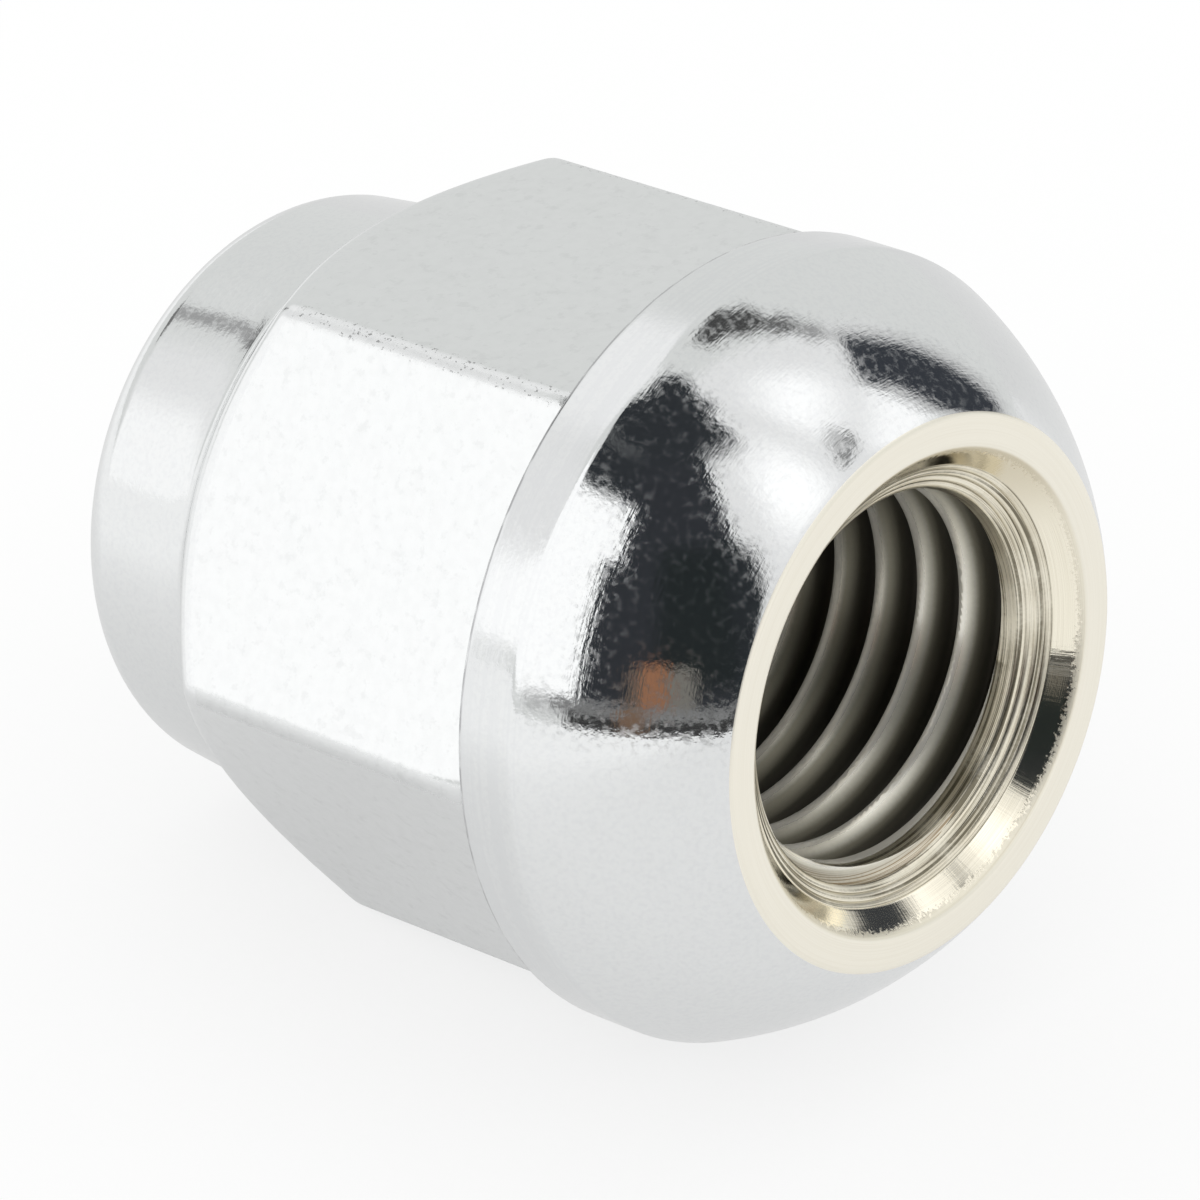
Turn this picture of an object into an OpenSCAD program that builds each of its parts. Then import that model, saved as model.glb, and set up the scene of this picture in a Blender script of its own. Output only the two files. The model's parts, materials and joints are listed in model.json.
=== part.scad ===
// Closed-end lug nut with a ball seat, lying on its side as it comes to rest.
// The nut is drawn standing on its open end, axis along Z, and laid down by one
// transform at the end. Sizes are in millimetres.

/* [Thread] */
// Nominal diameter of the thread
thread_d = 12; // [10:0.5:12.5]
// Pitch of the thread
thread_pitch = 1.5; // [1:0.25:2]
// Depth of the round hole, from the end face to the start of its point
bore_depth = 19; // [12:0.5:20]
// Angle across the cone at the blind end of the hole
bore_point_angle = 120; // [100:5:160]

/* [Open end] */
// Outer diameter of the flat end face
end_face_d = 15.4; // [14.5:0.1:17]
// Diameter of the mouth in the end face
mouth_d = 13.6; // [13:0.1:14.4]
// Angle across the countersink that opens the mouth
countersink_angle = 86; // [60:1:120]
// Diameter at which the countersink ends
countersink_d = 12.3; // [11.5:0.1:12.9]
// Angle across the lead-in cone, from the countersink to the thread
lead_in_angle = 105; // [60:5:140]

/* [Seat and collar] */
// Radius of the ball seat
seat_r = 12; // [11.6:0.1:15]
// Diameter of the collar behind the seat
collar_d = 22.3; // [20:0.1:23]
// Distance from the end face to the back of the collar
collar_h = 6.6; // [5.5:0.1:8]
// Edge break at the back of the collar
collar_break = 0.12; // [0.05:0.01:0.3]

/* [Hexagon] */
// Width across the flats
across_flats = 19; // [18:0.5:21]
// Metal turned off each sharp corner
corner_trim = 0.1; // [0.05:0.05:0.5]
// Relief of each corner where it meets the collar
corner_relief = 0.15; // [0.1:0.05:0.6]
// Distance from the end face to the middle of a flat's far end
flat_end_h = 18.55; // [15:0.05:20]
// Angle between the far chamfer and the axis
end_chamfer_angle = 46; // [35:1:60]

/* [Crown] */
// Diameter of the crown where it rises from the chamfer
crown_root_d = 17.5; // [16:0.1:17.8]
// Draft of the crown's side
crown_draft = 5.5; // [0:0.5:10]
// Radius of the fillet at the crown's root
crown_fillet = 0.8; // [0.2:0.1:1.2]
// Radius of the crown's edge
crown_edge_r = 1.7; // [0.5:0.1:3]
// Angle at which each round breaks from the faces beside it
crease_angle = 6; // [2:1:12]
// Overall length of the nut
nut_length = 24.2; // [23:0.1:28]

/* [Hidden] */
$fn = 96;

// Inner diameter of an internal 60 degree thread, less than nominal by this share of the pitch
minor_per_pitch = 1.0825;
minor_r = (thread_d - minor_per_pitch * thread_pitch) / 2;
// Cutting tools start this far outside the metal
overcut = 1;

// Ball seat: its centre lies on the axis, so that it meets the end face at its edge
end_face_r = end_face_d / 2;
collar_r = collar_d / 2;
seat_z = sqrt(pow(seat_r, 2) - pow(end_face_r, 2));

// Hexagon
apothem = across_flats / 2;
sharp_r = apothem / cos(30);
corner_r = sharp_r - corner_trim;

// Open end
mouth_r = mouth_d / 2;
countersink_r = countersink_d / 2;
countersink_slope = tan(countersink_angle / 2);
countersink_end = (mouth_r - countersink_r) / countersink_slope;
lead_in_end = countersink_end + (countersink_r - minor_r) / tan(lead_in_angle / 2);
bore_tip = bore_depth + minor_r / tan(bore_point_angle / 2);

// Crown: its side starts where the far chamfer has come in to its root diameter
crown_root_r = crown_root_d / 2;
crown_root_z = flat_end_h + (apothem - crown_root_r) / tan(end_chamfer_angle);
crown_top_r = crown_root_r - (nut_length - crown_root_z) * tan(crown_draft);
crown_root = [crown_root_r, crown_root_z];
crown_corner = [crown_top_r, nut_length];
chamfer_normal = [cos(end_chamfer_angle), sin(end_chamfer_angle)];
side_normal = [cos(crown_draft), sin(crown_draft)];
end_normal = [0, 1];

// Rest: the nut lies on the back edge of the collar and the far end of one flat
contact_h = collar_h - collar_break;
rest_tilt = atan((collar_r - apothem) / (flat_end_h - contact_h));
rest_lift = collar_r * cos(rest_tilt) + contact_h * sin(rest_tilt);
open_reach = end_face_r * sin(rest_tilt);
edge_centre = round_centre(crown_corner, side_normal, end_normal, crown_edge_r, -1);
lowest_angle = max(rest_tilt, crease_angle);
crown_tip = edge_centre + crown_edge_r * [sin(lowest_angle), cos(lowest_angle)];
crown_reach = crown_tip * [sin(rest_tilt), cos(rest_tilt)];
rest_shift = (crown_reach - open_reach) / 2;

// Centre of a round between two faces that meet at a corner; side is 1 in an inside corner, -1 on an edge
function round_centre(corner, normal_a, normal_b, r, side) =
    corner + side * r * cos(crease_angle) / (1 + normal_a * normal_b) * (normal_a + normal_b);

// Wedge that fills an inside corner, or cuts an edge, down to a round
module round_wedge(corner, normal_a, normal_b, r, side) {
    centre = round_centre(corner, normal_a, normal_b, r, side);
    depth = side * r * cos(crease_angle);
    difference() {
        polygon([
            corner - side * overcut * (normal_a + normal_b),
            centre - depth * normal_a,
            centre - depth * normal_b
        ]);
        translate(centre)
            circle(r = r);
    }
}

// Half section of the ball seat and collar
module seat_section() {
    intersection() {
        translate([0, seat_z])
            circle(r = seat_r);
        polygon([
            [0, 0],
            [collar_r, 0],
            [collar_r, collar_h - collar_break],
            [collar_r - collar_break, collar_h],
            [0, collar_h]
        ]);
    }
}

// Half section that the hexagon bar is turned to: corner relief, far chamfer and crown
module turned_section() {
    open_r = corner_r + overcut;
    relief_end = collar_h + corner_relief + overcut;
    chamfer_start = flat_end_h - (open_r - apothem) / tan(end_chamfer_angle);
    difference() {
        union() {
            polygon([
                [0, collar_h],
                [corner_r - corner_relief, collar_h],
                [open_r, relief_end],
                [open_r, chamfer_start],
                crown_root,
                crown_corner,
                [0, nut_length]
            ]);
            round_wedge(crown_root, chamfer_normal, side_normal, crown_fillet, 1);
        }
        round_wedge(crown_corner, side_normal, end_normal, crown_edge_r, -1);
    }
}

// Half section of everything cut from the open end
module bore_section() {
    polygon([
        [0, -overcut],
        [mouth_r + overcut * countersink_slope, -overcut],
        [countersink_r, countersink_end],
        [minor_r, lead_in_end],
        [minor_r, bore_depth],
        [0, bore_tip]
    ]);
}

// Hexagon bar with its corners rounded off by turning
module hexagon_bar() {
    translate([0, 0, collar_h])
        linear_extrude(nut_length - collar_h)
            intersection() {
                rotate(30)
                    circle(r = sharp_r, $fn = 6);
                circle(r = corner_r);
            }
}

// The whole nut standing on its open end
module standing_nut() {
    difference() {
        union() {
            rotate_extrude()
                seat_section();
            intersection() {
                hexagon_bar();
                rotate_extrude()
                    turned_section();
            }
        }
        rotate_extrude()
            bore_section();
    }
}

// Lays the standing nut on a flat, open end towards +X
module lug_nut() {
    color("gainsboro")
        translate([rest_shift, 0, rest_lift])
            rotate([0, -90 - rest_tilt, 0])
                standing_nut();
}

lug_nut();
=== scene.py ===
"""Dressed model of a closed-end lug nut with a ball seat.

The nut is shaped standing on its open end, axis along Z and in millimetres, and is then laid down
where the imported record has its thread. One closed mesh stands for the whole nut, with the right-hand
thread cut into it.
"""

import json
import logging
import math
from collections.abc import Callable
from dataclasses import dataclass, field
from enum import Enum

import bmesh
import bpy
from mathutils import Matrix, Vector


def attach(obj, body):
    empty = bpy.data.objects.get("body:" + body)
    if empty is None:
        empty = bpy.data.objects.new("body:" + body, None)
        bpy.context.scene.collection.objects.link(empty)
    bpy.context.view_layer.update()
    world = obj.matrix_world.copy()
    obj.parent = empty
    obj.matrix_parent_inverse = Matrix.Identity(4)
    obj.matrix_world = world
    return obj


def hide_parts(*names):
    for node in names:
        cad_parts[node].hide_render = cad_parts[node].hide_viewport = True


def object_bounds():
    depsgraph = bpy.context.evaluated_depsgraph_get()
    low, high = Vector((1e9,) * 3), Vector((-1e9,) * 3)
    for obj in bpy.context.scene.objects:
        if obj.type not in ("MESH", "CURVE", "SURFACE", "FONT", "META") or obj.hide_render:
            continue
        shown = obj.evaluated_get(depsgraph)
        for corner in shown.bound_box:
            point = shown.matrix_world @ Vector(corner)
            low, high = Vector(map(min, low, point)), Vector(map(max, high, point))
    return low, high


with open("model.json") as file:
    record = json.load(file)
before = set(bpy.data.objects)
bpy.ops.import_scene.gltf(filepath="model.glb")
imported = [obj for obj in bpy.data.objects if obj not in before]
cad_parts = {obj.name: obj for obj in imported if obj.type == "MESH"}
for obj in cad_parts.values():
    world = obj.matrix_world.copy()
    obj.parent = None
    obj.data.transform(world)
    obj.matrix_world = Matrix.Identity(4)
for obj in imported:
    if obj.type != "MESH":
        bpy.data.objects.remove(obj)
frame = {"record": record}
cad_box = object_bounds()

log = logging.getLogger("lug_nut")

MILLIMETRE = 0.001
FLATS = 6
# Angle from the middle of a flat to its ridge, in radians
HALF_FLAT = math.pi / FLATS
# Radius at which the marks round the axis have their given length, in millimetres
MARK_R = 10.0

# Radius and height of a point on the standing nut
Place = tuple[float, float]
# Gives the place of a ring's point at an angle round the axis
Ring = Callable[[float], Place]
Colour = tuple[float, float, float]
# Where a soft step starts and where it is complete
Span = tuple[float, float]


class Zone(Enum):
    """Surfaces with a finish of their own, in the order of the piece's material slots."""

    FLATS = 0
    TURNED = 1
    MOUTH = 2
    THREAD = 3


@dataclass(frozen=True)
class Band:
    """A ring, and the finish of the strip of faces that leads to it."""

    ring: Ring
    zone: Zone


def level(radius: float, height: float) -> Ring:
    """Return a ring that has one radius and one height all the way round."""
    return lambda angle: (radius, height)


def between(start: Ring, end: Ring, share: float) -> Ring:
    """Return a ring that lies between two others.

    Args:
        start: The ring at a share of 0.
        end: The ring at a share of 1.
        share: How far along the way the new ring lies.

    Returns:
        The new ring.
    """

    def place(angle: float) -> Place:
        """Return the radius and height at an angle."""
        start_r, start_z = start(angle)
        end_r, end_z = end(angle)
        return start_r + (end_r - start_r) * share, start_z + (end_z - start_z) * share

    return place


def run(start: Ring, end: Ring, steps: int) -> list[Ring]:
    """Return rings at equal steps from one ring to another, without the first.

    Args:
        start: The ring that the run leaves.
        end: The ring that the run ends on.
        steps: Number of strips in the run.

    Returns:
        The rings in order, the last one being the end.
    """
    return [between(start, end, step / steps) for step in range(1, steps + 1)]


def soft_edge(before: Ring, corner: Ring, after: Ring, steps: int) -> list[Ring]:
    """Return the rings of a soft edge, which leaves one face and joins the next in a smooth curve.

    Args:
        before: Where the curve leaves the first face.
        corner: Where the two faces would meet.
        after: Where the curve joins the second face.
        steps: Number of strips in the curve.

    Returns:
        The rings in order, from the first face to the second.
    """
    shares = [step / steps for step in range(steps + 1)]
    return [between(between(before, corner, t), between(corner, after, t), t) for t in shares]


def arc(centre: Place, radius: float, start: float, end: float, steps: int) -> list[Ring]:
    """Return the rings of a turned arc.

    Args:
        centre: Radius and height of the arc's centre.
        radius: Radius of the arc, negative for an inside corner.
        start: Angle of the first ring, in degrees from the outward direction towards the crown.
        end: Angle of the last ring.
        steps: Number of strips in the arc.

    Returns:
        The rings in order.
    """
    angles = [math.radians(start + (end - start) * step / steps) for step in range(steps + 1)]
    return [level(centre[0] + radius * math.cos(a), centre[1] + radius * math.sin(a)) for a in angles]


def select_only(item: bpy.types.Object) -> None:
    """Deselect everything, and make one object the selected and active one.

    Args:
        item: The object that the next operators act on.
    """
    bpy.ops.object.select_all(action="DESELECT")
    item.select_set(True)
    bpy.context.view_layer.objects.active = item


def apply_modifier(item: bpy.types.Object, name: str) -> None:
    """Apply a modifier to an object's mesh.

    Args:
        item: The object that has the modifier.
        name: The modifier's name.
    """
    select_only(item)
    bpy.ops.object.modifier_apply(modifier=name)


@dataclass
class Thread:
    """Right-hand internal thread, cut as one coil."""

    diameter: float = 12.0
    pitch: float = 1.5
    minor_per_pitch: float = 1.0825
    flank_angle: float = 30.0
    crest_angle: float = 61.0
    crest_round: float = 1.35
    crest_land: float = 0.07
    near_lean: float = 0.007
    crest_steps: int = 10
    root_round: float = 0.07
    inner_reach: float = 0.3
    first_turn: float = -0.22
    turns: int = 11
    run_in_turns: float = 0.9
    run_out_turns: float = 0.8
    steps_per_turn: int = 144

    @property
    def minor_r(self) -> float:
        """Radius of the hole that the thread is cut into."""
        return (self.diameter - self.minor_per_pitch * self.pitch) / 2

    def section(self) -> list[Place]:
        """Work out the groove's section, from the crest on the mouth's side to the crest on the deep side.

        A crest leans: it rises in a curve from the flank that faces the mouth, up to a crisp edge.

        Returns:
            Radius and height above the groove's start, for each point.
        """
        root_r = self.diameter / 2
        root = self.root_round
        flank = math.radians(self.flank_angle)
        slope = math.tan(flank)
        reach = self.inner_reach
        land = self.pitch - self.crest_land
        last = math.radians(self.crest_angle)
        crest = []
        for step in range(self.crest_steps + 1):
            turn = flank + (last - flank) * step / self.crest_steps
            radius = self.minor_r + self.crest_round * (math.sin(last) - math.sin(turn))
            crest.append((radius, land + self.crest_round * (math.cos(last) - math.cos(turn))))
        near = (root_r - self.minor_r) * slope
        far = crest[0][1] - (root_r - crest[0][0]) * slope
        return [
            (self.minor_r - reach, -self.near_lean),
            (self.minor_r, 0.0),
            (root_r - root, near - root * slope),
            (root_r, near + root),
            (root_r, far - root),
            (root_r - root, far + root * slope),
            *crest,
            (self.minor_r - reach, land),
        ]

    def coil(self) -> bpy.types.Object:
        """Build the coil that the groove is cut with, tapered at both ends.

        Returns:
            The coil, standing on the nut's axis.
        """
        section = self.section()
        bpy.ops.object.select_all(action="DESELECT")
        bpy.ops.mesh.primitive_circle_add(vertices=len(section), radius=1.0)
        coil = bpy.context.object
        for vertex, (radius, height) in zip(coil.data.vertices, section):
            vertex.co = (radius, 0.0, self.first_turn + height)
        screw = coil.modifiers.new("turns", "SCREW")
        screw.axis = "Z"
        screw.angle = math.tau
        screw.screw_offset = self.pitch
        screw.iterations = self.turns
        screw.steps = self.steps_per_turn
        screw.render_steps = self.steps_per_turn
        screw.use_merge_vertices = False
        apply_modifier(coil, "turns")
        self.taper(coil, len(section))
        bpy.ops.object.mode_set(mode="EDIT")
        bpy.ops.mesh.select_all(action="SELECT")
        bpy.ops.mesh.fill_holes(sides=0)
        bpy.ops.mesh.select_all(action="SELECT")
        bpy.ops.mesh.normals_make_consistent(inside=False)
        bpy.ops.object.mode_set(mode="OBJECT")
        return coil

    def taper(self, coil: bpy.types.Object, points: int) -> None:
        """Draw both ends of the coil in towards the axis, so that the groove runs in and out.

        Args:
            coil: The coil.
            points: Number of points in its section.
        """
        depth = self.diameter / 2 - self.minor_r + self.inner_reach / 2
        for vertex in coil.data.vertices:
            turn = vertex.index // points / self.steps_per_turn
            left_in = 1 - turn / self.run_in_turns
            left_out = 1 - (self.turns - turn) / self.run_out_turns
            share = max(left_in, left_out, 0.0)
            flat = Vector((vertex.co.x, vertex.co.y, 0.0))
            vertex.co -= flat.normalized() * depth * share


@dataclass
class Mouth:
    """Open end: the hole's point and wall, the lead-in cone, the countersink and the end face."""

    bore_depth: float = 19.0
    bore_point_angle: float = 120.0
    point_flat_r: float = 0.15
    lead_in_angle: float = 105.0
    countersink_d: float = 12.3
    countersink_angle: float = 86.0
    mouth_d: float = 13.6
    end_face_d: float = 15.4
    throat_r: float = 0.16
    throat_h: float = 0.3
    edge_soft: float = 0.12
    edge_share: float = 0.36
    rim_soft: float = 0.1
    tool_steps: int = 4
    tool_step_height: float = 0.03
    # Share of the way along a step, and share of its height
    tool_step_shape: tuple[Place, ...] = ((0.12, 0.0), (0.3, 0.75), (0.6, 1.0), (0.95, 0.7))
    point_strips: int = 4
    wall_strips: int = 2
    sink_strips: int = 3
    edge_strips: int = 7
    face_strips: int = 4

    @property
    def countersink_end(self) -> float:
        """Height at which the countersink meets the lead-in cone."""
        return (self.mouth_d - self.countersink_d) / 2 / math.tan(math.radians(self.countersink_angle / 2))

    def lead_in_end(self, minor_r: float) -> float:
        """Return the height at which the lead-in cone has come in to the hole."""
        slope = math.tan(math.radians(self.lead_in_angle / 2))
        return self.countersink_end + (self.countersink_d / 2 - minor_r) / slope

    def start(self, minor_r: float) -> Ring:
        """Return the small flat at the hole's point, where the mesh begins."""
        rise = (minor_r - self.point_flat_r) / math.tan(math.radians(self.bore_point_angle / 2))
        return level(self.point_flat_r, self.bore_depth + rise)

    def bands(self, minor_r: float) -> list[Band]:
        """Work out the strips from the hole's point to the end face.

        Args:
            minor_r: Radius of the hole.

        Returns:
            The strips in order.
        """
        point = self.start(minor_r)
        wall_end = level(minor_r, self.bore_depth)
        wall_start = level(minor_r, self.lead_in_end(minor_r) + self.throat_h)
        bore = run(point, wall_end, self.point_strips) + run(wall_end, wall_start, self.wall_strips)
        sink = level(self.countersink_d / 2, self.countersink_end)
        corner = level(self.mouth_d / 2, 0.0)
        edge = between(corner, sink, self.edge_share)
        face = level(self.mouth_d / 2 + self.edge_soft, 0.0)
        rim = level(self.end_face_d / 2 - self.rim_soft, 0.0)
        mouth = self.lead_in_rings(minor_r) + [sink] + run(sink, edge, self.sink_strips)
        mouth += soft_edge(edge, corner, face, self.edge_strips)[1:] + run(face, rim, self.face_strips)
        return [Band(ring, Zone.THREAD) for ring in bore] + [Band(ring, Zone.MOUTH) for ring in mouth]

    def lead_in_rings(self, minor_r: float) -> list[Ring]:
        """Work out the lead-in cone, which the tool left in shallow steps.

        Args:
            minor_r: Radius of the hole.

        Returns:
            The rings from the hole to the countersink.
        """
        slope = math.tan(math.radians(self.lead_in_angle / 2))
        inner = (minor_r + self.throat_r, self.lead_in_end(minor_r) - self.throat_r / slope)
        outer = (self.countersink_d / 2, self.countersink_end)
        length = math.dist(inner, outer)
        lift_r = (outer[1] - inner[1]) / length
        lift_z = -(outer[0] - inner[0]) / length
        rings = []
        for step in range(self.tool_steps):
            for share, height in self.tool_step_shape:
                along = (step + share) / self.tool_steps
                rise = self.tool_step_height * height
                radius = inner[0] + (outer[0] - inner[0]) * along + lift_r * rise
                depth = inner[1] + (outer[1] - inner[1]) * along + lift_z * rise
                rings.append(level(radius, depth))
        return rings


@dataclass
class Seat:
    """Ball seat and the collar behind it."""

    ball_r: float = 12.0
    collar_d: float = 22.3
    collar_h: float = 6.6
    collar_break: float = 0.14
    edge_soft: float = 0.1
    crease_soft: float = 0.12
    rim_strips: int = 3
    ball_strips: int = 26
    side_strips: int = 3
    edge_strips: int = 4

    def bands(self, end_face_r: float) -> list[Band]:
        """Work out the strips from the end face's rim, which has the mouth's plating, to the collar's back.

        Args:
            end_face_r: Radius of the end face.

        Returns:
            The strips in order.
        """
        centre_z = math.sqrt(self.ball_r**2 - end_face_r**2)
        collar_r = self.collar_d / 2
        crease_z = centre_z - math.sqrt(self.ball_r**2 - collar_r**2)
        first = self.ball_angle(end_face_r) + math.degrees(self.edge_soft / self.ball_r)
        last = self.ball_angle(collar_r) - math.degrees(self.crease_soft / self.ball_r)
        ball = arc((0.0, centre_z), self.ball_r, first - 90, last - 90, self.ball_strips)
        face = level(end_face_r - self.edge_soft, 0.0)
        rim = soft_edge(face, level(end_face_r, 0.0), ball[0], self.rim_strips)[1:]
        crease = level(collar_r, crease_z)
        after_crease = level(collar_r, crease_z + self.crease_soft)
        back_z = self.collar_h - self.collar_break
        side_start = level(collar_r, crease_z + 2 * self.crease_soft)
        side_end = level(collar_r, back_z - self.edge_soft)
        corner = level(collar_r, self.collar_h)
        back = level(collar_r - self.collar_break, self.collar_h)
        rings = ball[1:] + soft_edge(ball[-1], crease, after_crease, self.edge_strips)[1:]
        rings += run(side_start, side_end, self.side_strips)
        rings += soft_edge(level(collar_r, back_z), corner, back, self.edge_strips)
        return [Band(ring, Zone.MOUTH) for ring in rim] + [Band(ring, Zone.TURNED) for ring in rings]

    def ball_angle(self, radius: float) -> float:
        """Return the angle from the ball's pole to a radius, in degrees."""
        return math.degrees(math.asin(radius / self.ball_r))


@dataclass
class Hexagon:
    """Hexagon body with soft ridges, from the collar to the curved far ends of its flats."""

    across_flats: float = 19.0
    corner_trim: float = 0.1
    corner_relief: float = 0.15
    flat_end_h: float = 18.55
    chamfer_angle: float = 46.0
    foot_fillet: float = 0.14
    end_soft: float = 0.24
    columns_per_flat: int = 48
    crowding: float = 0.9
    foot_strips: int = 3
    wall_strips: int = 8
    end_strips: int = 4

    @property
    def apothem(self) -> float:
        """Half the width across the flats."""
        return self.across_flats / 2

    @property
    def ridge_round(self) -> float:
        """Radius of the round that takes the trim off a sharp corner."""
        return self.corner_trim / (1 - math.cos(HALF_FLAT)) * math.cos(HALF_FLAT)

    def column_angle(self, column: int) -> float:
        """Work out the angle of one of the mesh's columns, which crowd towards the ridges.

        Args:
            column: The column's number.

        Returns:
            Its angle round the axis, in radians.
        """
        flat, step = divmod(column, self.columns_per_flat)
        share = step / self.columns_per_flat - 0.5
        crowded = share + self.crowding * math.sin(math.tau * share) / math.tau
        return (flat + crowded) * math.tau / FLATS

    def radius(self, angle: float) -> float:
        """Work out the hexagon's radius, with its ridges rounded.

        Args:
            angle: Angle round the axis, in radians from the middle of a flat.

        Returns:
            Distance from the axis to the surface.
        """
        off_flat = abs((angle + HALF_FLAT) % (2 * HALF_FLAT) - HALF_FLAT)
        centre_r = (self.apothem - self.ridge_round) / math.cos(HALF_FLAT)
        tangent = math.atan(centre_r * math.sin(HALF_FLAT) / self.apothem)
        if off_flat <= tangent:
            return self.apothem / math.cos(off_flat)
        off_ridge = HALF_FLAT - off_flat
        across = centre_r * math.sin(off_ridge)
        return centre_r * math.cos(off_ridge) + math.sqrt(self.ridge_round**2 - across**2)

    def foot_radius(self, angle: float) -> float:
        """Return the radius at the collar, where the ridges are relieved."""
        corner_r = self.apothem / math.cos(HALF_FLAT) - self.corner_trim
        return min(self.radius(angle), corner_r - self.corner_relief)

    def wall(self, below_end: float) -> Ring:
        """Return a ring on the flats, at a distance below their far ends."""
        return lambda angle: (self.radius(angle), self.end_height(angle) - below_end)

    def end_height(self, angle: float) -> float:
        """Return the height at which the far chamfer cuts the flats."""
        chamfer = math.tan(math.radians(self.chamfer_angle))
        return self.flat_end_h - (self.radius(angle) - self.apothem) / chamfer

    def chamfer(self, along: float) -> Ring:
        """Return a ring on the far chamfer, at a distance from its lower edge."""
        inward = along * math.sin(math.radians(self.chamfer_angle))
        upward = along * math.cos(math.radians(self.chamfer_angle))
        return lambda angle: (self.radius(angle) - inward, self.end_height(angle) + upward)

    def bands(self, collar_h: float) -> list[Band]:
        """Work out the strips from the collar's back to the far chamfer.

        Args:
            collar_h: Height of the collar's back.

        Returns:
            The strips in order.
        """

        def foot(outward: float, upward: float) -> Ring:
            """Return a ring near the foot of the hexagon."""
            return lambda angle: (self.foot_radius(angle) + outward, collar_h + upward)

        def relieved(angle: float) -> Place:
            """Return the place where the corner relief has run out on the wall."""
            rise = self.radius(angle) - self.foot_radius(angle)
            return self.radius(angle), collar_h + 2 * self.foot_fillet + rise

        fillet = self.foot_fillet
        soft = self.end_soft
        foot_rings = soft_edge(foot(fillet, 0.0), foot(0.0, 0.0), foot(0.0, fillet), self.foot_strips)
        walls = [relieved] + run(relieved, self.wall(2 * soft), self.wall_strips)
        end = soft_edge(self.wall(soft), self.wall(0.0), self.chamfer(soft), self.end_strips)
        bands = [Band(ring, Zone.TURNED) for ring in foot_rings]
        bands += [Band(ring, Zone.FLATS) for ring in walls]
        return bands + [Band(ring, Zone.TURNED) for ring in end]


@dataclass
class Crown:
    """Drafted round crown over the far chamfer."""

    root_d: float = 17.5
    draft: float = 5.5
    fillet: float = 0.8
    edge_r: float = 1.7
    crease_angle: float = 6.0
    length: float = 24.2
    middle_r: float = 0.3
    crease_share: float = 0.985
    chamfer_strips: int = 3
    fillet_strips: int = 10
    side_strips: int = 5
    edge_strips: int = 20
    end_strips: int = 6

    def bands(self, hexagon: Hexagon) -> list[Band]:
        """Work out the strips from the far chamfer to the middle of the crown's end.

        Args:
            hexagon: The hexagon that the crown stands on.

        Returns:
            The strips in order.
        """
        root_r = self.root_d / 2
        chamfer = math.tan(math.radians(hexagon.chamfer_angle))
        root_z = hexagon.flat_end_h + (hexagon.apothem - root_r) / chamfer
        top_r = root_r - (self.length - root_z) * math.tan(math.radians(self.draft))
        fillet_centre = self.round_centre((root_r, root_z), hexagon.chamfer_angle, self.draft, self.fillet)
        edge_centre = self.round_centre((top_r, self.length), self.draft, 90.0, -self.edge_r)
        chamfer_turn = hexagon.chamfer_angle - self.crease_angle
        side_turn = self.draft + self.crease_angle
        root = arc(fillet_centre, -self.fillet, chamfer_turn, side_turn, self.fillet_strips)
        edge = arc(edge_centre, self.edge_r, side_turn, 90 - self.crease_angle, self.edge_strips)
        side_end = between(root[-1], edge[0], self.crease_share)
        rings = run(hexagon.chamfer(2 * hexagon.end_soft), root[0], self.chamfer_strips) + root[1:]
        rings += run(root[-1], side_end, self.side_strips) + edge
        rings += run(edge[-1], level(self.middle_r, self.length), self.end_strips)
        return [Band(ring, Zone.TURNED) for ring in rings]

    def round_centre(self, corner: Place, angle_a: float, angle_b: float, radius: float) -> Place:
        """Work out the centre of a round that breaks from two faces at the crease angle.

        Args:
            corner: Where the two faces would meet.
            angle_a: Direction that the first face looks in, in degrees.
            angle_b: Direction that the second face looks in, in degrees.
            radius: Radius of the round, negative on an outer edge.

        Returns:
            Radius and height of the centre.
        """
        half = math.radians(angle_a - angle_b) / 2
        middle = math.radians(angle_a + angle_b) / 2
        reach = radius * math.cos(math.radians(self.crease_angle)) / math.cos(half)
        return corner[0] + reach * math.cos(middle), corner[1] + reach * math.sin(middle)


def grey(value: float) -> Colour:
    """Return a colour with three equal parts."""
    return value, value, value


class Wire:
    """One output of a shader graph, with arithmetic that adds Math nodes."""

    def __init__(self, graph: "Graph", socket: bpy.types.NodeSocket) -> None:
        """Keep the graph and the socket.

        Args:
            graph: The graph that new nodes go into.
            socket: The output that the wire starts from.
        """
        self.graph = graph
        self.socket = socket

    def output(self, name: str) -> "Wire":
        """Return another output of the same node."""
        return Wire(self.graph, self.socket.node.outputs[name])

    def __add__(self, other: "Wire | float") -> "Wire":
        """Return the sum."""
        return self.graph.math("ADD", self, other)

    def __radd__(self, other: float) -> "Wire":
        """Return the sum, with a number first."""
        return self.graph.math("ADD", other, self)

    def __sub__(self, other: "Wire | float") -> "Wire":
        """Return the difference."""
        return self.graph.math("SUBTRACT", self, other)

    def __rsub__(self, other: float) -> "Wire":
        """Return the difference, with a number first."""
        return self.graph.math("SUBTRACT", other, self)

    def __mul__(self, other: "Wire | float") -> "Wire":
        """Return the product."""
        return self.graph.math("MULTIPLY", self, other)

    def __rmul__(self, other: float) -> "Wire":
        """Return the product, with a number first."""
        return self.graph.math("MULTIPLY", other, self)

    def __truediv__(self, other: "Wire | float") -> "Wire":
        """Return the quotient."""
        return self.graph.math("DIVIDE", self, other)

    def __rtruediv__(self, other: float) -> "Wire":
        """Return the quotient, with a number first."""
        return self.graph.math("DIVIDE", other, self)

    def __pow__(self, other: "Wire | float") -> "Wire":
        """Return the power."""
        return self.graph.math("POWER", self, other)

    def __abs__(self) -> "Wire":
        """Return the absolute value."""
        return self.graph.math("ABSOLUTE", self)


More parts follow.
